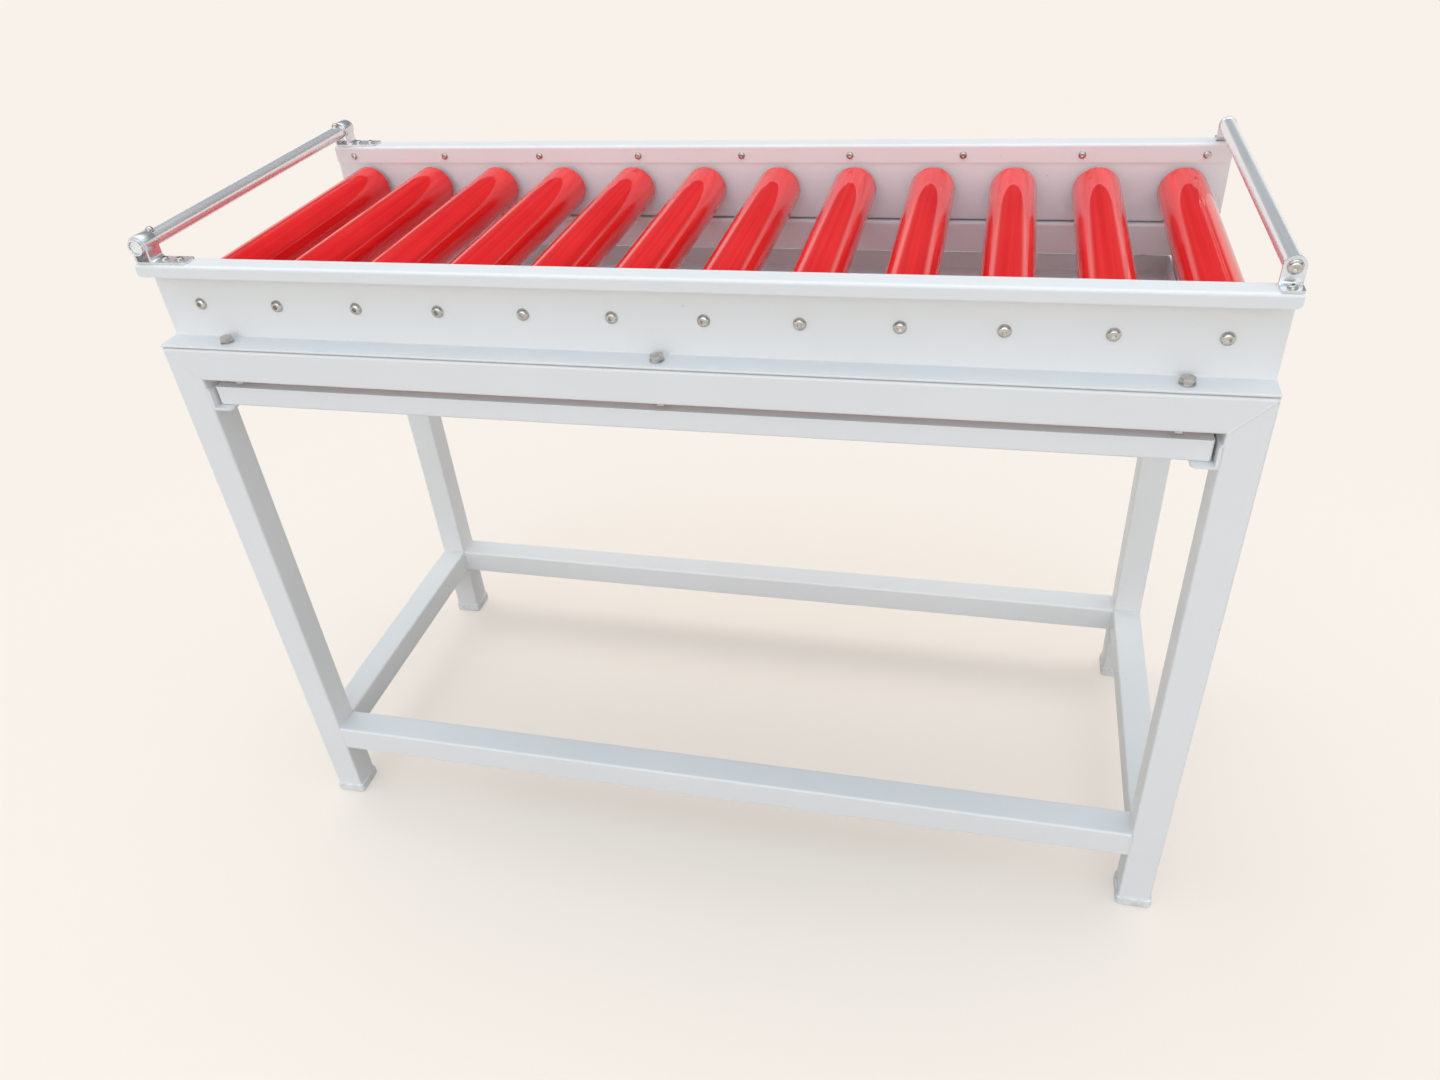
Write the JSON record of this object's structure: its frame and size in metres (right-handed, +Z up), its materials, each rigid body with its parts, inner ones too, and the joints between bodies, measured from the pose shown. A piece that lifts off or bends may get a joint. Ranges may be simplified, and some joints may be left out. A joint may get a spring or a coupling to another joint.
{
  "type": "roller conveyor",
  "caption": "Gravity roller table on a square-tube stand, with red sleeved rollers between folded side rails, a slide-in tray below and a round bar over each end.",
  "frame": {"origin": "on the floor, below the middle of the table", "axes": "+X along the table across the rollers, +Y from the tray's front to the rear, +Z up"},
  "size_m": [1.205, 0.491, 0.892],
  "materials": {
    "white_powder_coat": "satin",
    "red_sleeve": "gloss",
    "roller_steel": "satin",
    "zinc_plate": "satin",
    "fastener_steel": "bright",
    "foot_plastic": "matte"
  },
  "bodies": {
    "stand": {"axle_bolts": "fastener_steel", "bar_bolts": "fastener_steel", "bar_bracket_left_front": "zinc_plate", "bar_bracket_left_rear": "zinc_plate", "bar_bracket_right_front": "zinc_plate", "bar_bracket_right_rear": "zinc_plate", "bearing_inner_rings": "roller_steel", "bracket_screws": "fastener_steel", "cap_screws": "fastener_steel", "feet": "foot_plastic", "flange_bolts": "fastener_steel", "flange_nuts": "fastener_steel", "flange_washers": "fastener_steel", "leg_front_left": "white_powder_coat", "leg_front_right": "white_powder_coat", "leg_rear_left": "white_powder_coat", "leg_rear_right": "white_powder_coat", "roller_axles": "roller_steel", "side_channel_front": "white_powder_coat", "side_channel_rear": "white_powder_coat", "stretcher_front": "white_powder_coat", "stretcher_left": "white_powder_coat", "stretcher_rear": "white_powder_coat", "stretcher_right": "white_powder_coat", "top_cap_front": "white_powder_coat", "top_cap_rear": "white_powder_coat", "top_rail_front": "white_powder_coat", "top_rail_left": "white_powder_coat", "top_rail_rear": "white_powder_coat", "top_rail_right": "white_powder_coat", "tray_runner_left": "white_powder_coat", "tray_runner_right": "white_powder_coat"},
    "roller_01": {"roller_01_sleeve": "red_sleeve", "roller_01_tube": "roller_steel"},
    "roller_02": {"roller_02_sleeve": "red_sleeve", "roller_02_tube": "roller_steel"},
    "roller_03": {"roller_03_sleeve": "red_sleeve", "roller_03_tube": "roller_steel"},
    "roller_04": {"roller_04_sleeve": "red_sleeve", "roller_04_tube": "roller_steel"},
    "roller_05": {"roller_05_sleeve": "red_sleeve", "roller_05_tube": "roller_steel"},
    "roller_06": {"roller_06_sleeve": "red_sleeve", "roller_06_tube": "roller_steel"},
    "roller_07": {"roller_07_sleeve": "red_sleeve", "roller_07_tube": "roller_steel"},
    "roller_08": {"roller_08_sleeve": "red_sleeve", "roller_08_tube": "roller_steel"},
    "roller_09": {"roller_09_sleeve": "red_sleeve", "roller_09_tube": "roller_steel"},
    "roller_10": {"roller_10_sleeve": "red_sleeve", "roller_10_tube": "roller_steel"},
    "roller_11": {"roller_11_sleeve": "red_sleeve", "roller_11_tube": "roller_steel"},
    "roller_12": {"roller_12_sleeve": "red_sleeve", "roller_12_tube": "roller_steel"},
    "tray": {"tray": "white_powder_coat"},
    "left_end_bar": {"end_bar_left": "zinc_plate", "bar_stop_rivets": "fastener_steel"},
    "right_end_bar": {"end_bar_right": "zinc_plate"}
  },
  "joints": [
    {"name": "roller_01_spin", "type": "hinge", "parent": "stand", "child": "roller_01", "pos_m": [-0.55, 0, 0.804], "axis": [0, 1, 0], "continuous": true},
    {"name": "roller_02_spin", "type": "hinge", "parent": "stand", "child": "roller_02", "pos_m": [-0.45, 0, 0.804], "axis": [0, 1, 0], "continuous": true},
    {"name": "roller_03_spin", "type": "hinge", "parent": "stand", "child": "roller_03", "pos_m": [-0.35, 0, 0.804], "axis": [0, 1, 0], "continuous": true},
    {"name": "roller_04_spin", "type": "hinge", "parent": "stand", "child": "roller_04", "pos_m": [-0.25, 0, 0.804], "axis": [0, 1, 0], "continuous": true},
    {"name": "roller_05_spin", "type": "hinge", "parent": "stand", "child": "roller_05", "pos_m": [-0.15, 0, 0.804], "axis": [0, 1, 0], "continuous": true},
    {"name": "roller_06_spin", "type": "hinge", "parent": "stand", "child": "roller_06", "pos_m": [-0.05, 0, 0.804], "axis": [0, 1, 0], "continuous": true},
    {"name": "roller_07_spin", "type": "hinge", "parent": "stand", "child": "roller_07", "pos_m": [0.05, 0, 0.804], "axis": [0, 1, 0], "continuous": true},
    {"name": "roller_08_spin", "type": "hinge", "parent": "stand", "child": "roller_08", "pos_m": [0.15, 0, 0.804], "axis": [0, 1, 0], "continuous": true},
    {"name": "roller_09_spin", "type": "hinge", "parent": "stand", "child": "roller_09", "pos_m": [0.25, 0, 0.804], "axis": [0, 1, 0], "continuous": true},
    {"name": "roller_10_spin", "type": "hinge", "parent": "stand", "child": "roller_10", "pos_m": [0.35, 0, 0.804], "axis": [0, 1, 0], "continuous": true},
    {"name": "roller_11_spin", "type": "hinge", "parent": "stand", "child": "roller_11", "pos_m": [0.45, 0, 0.804], "axis": [0, 1, 0], "continuous": true},
    {"name": "roller_12_spin", "type": "hinge", "parent": "stand", "child": "roller_12", "pos_m": [0.55, 0, 0.804], "axis": [0, 1, 0], "continuous": true},
    {"name": "tray_slide", "type": "slide", "parent": "stand", "child": "tray", "axis": [0, -1, 0], "range_m": [0, 0.2]},
    {"name": "left_end_bar_spin", "type": "hinge", "parent": "stand", "child": "left_end_bar", "pos_m": [-0.588, 0, 0.8785], "axis": [0, 1, 0], "continuous": true},
    {"name": "right_end_bar_spin", "type": "hinge", "parent": "stand", "child": "right_end_bar", "pos_m": [0.59, 0, 0.8765], "axis": [0, 1, 0], "continuous": true}
  ]
}
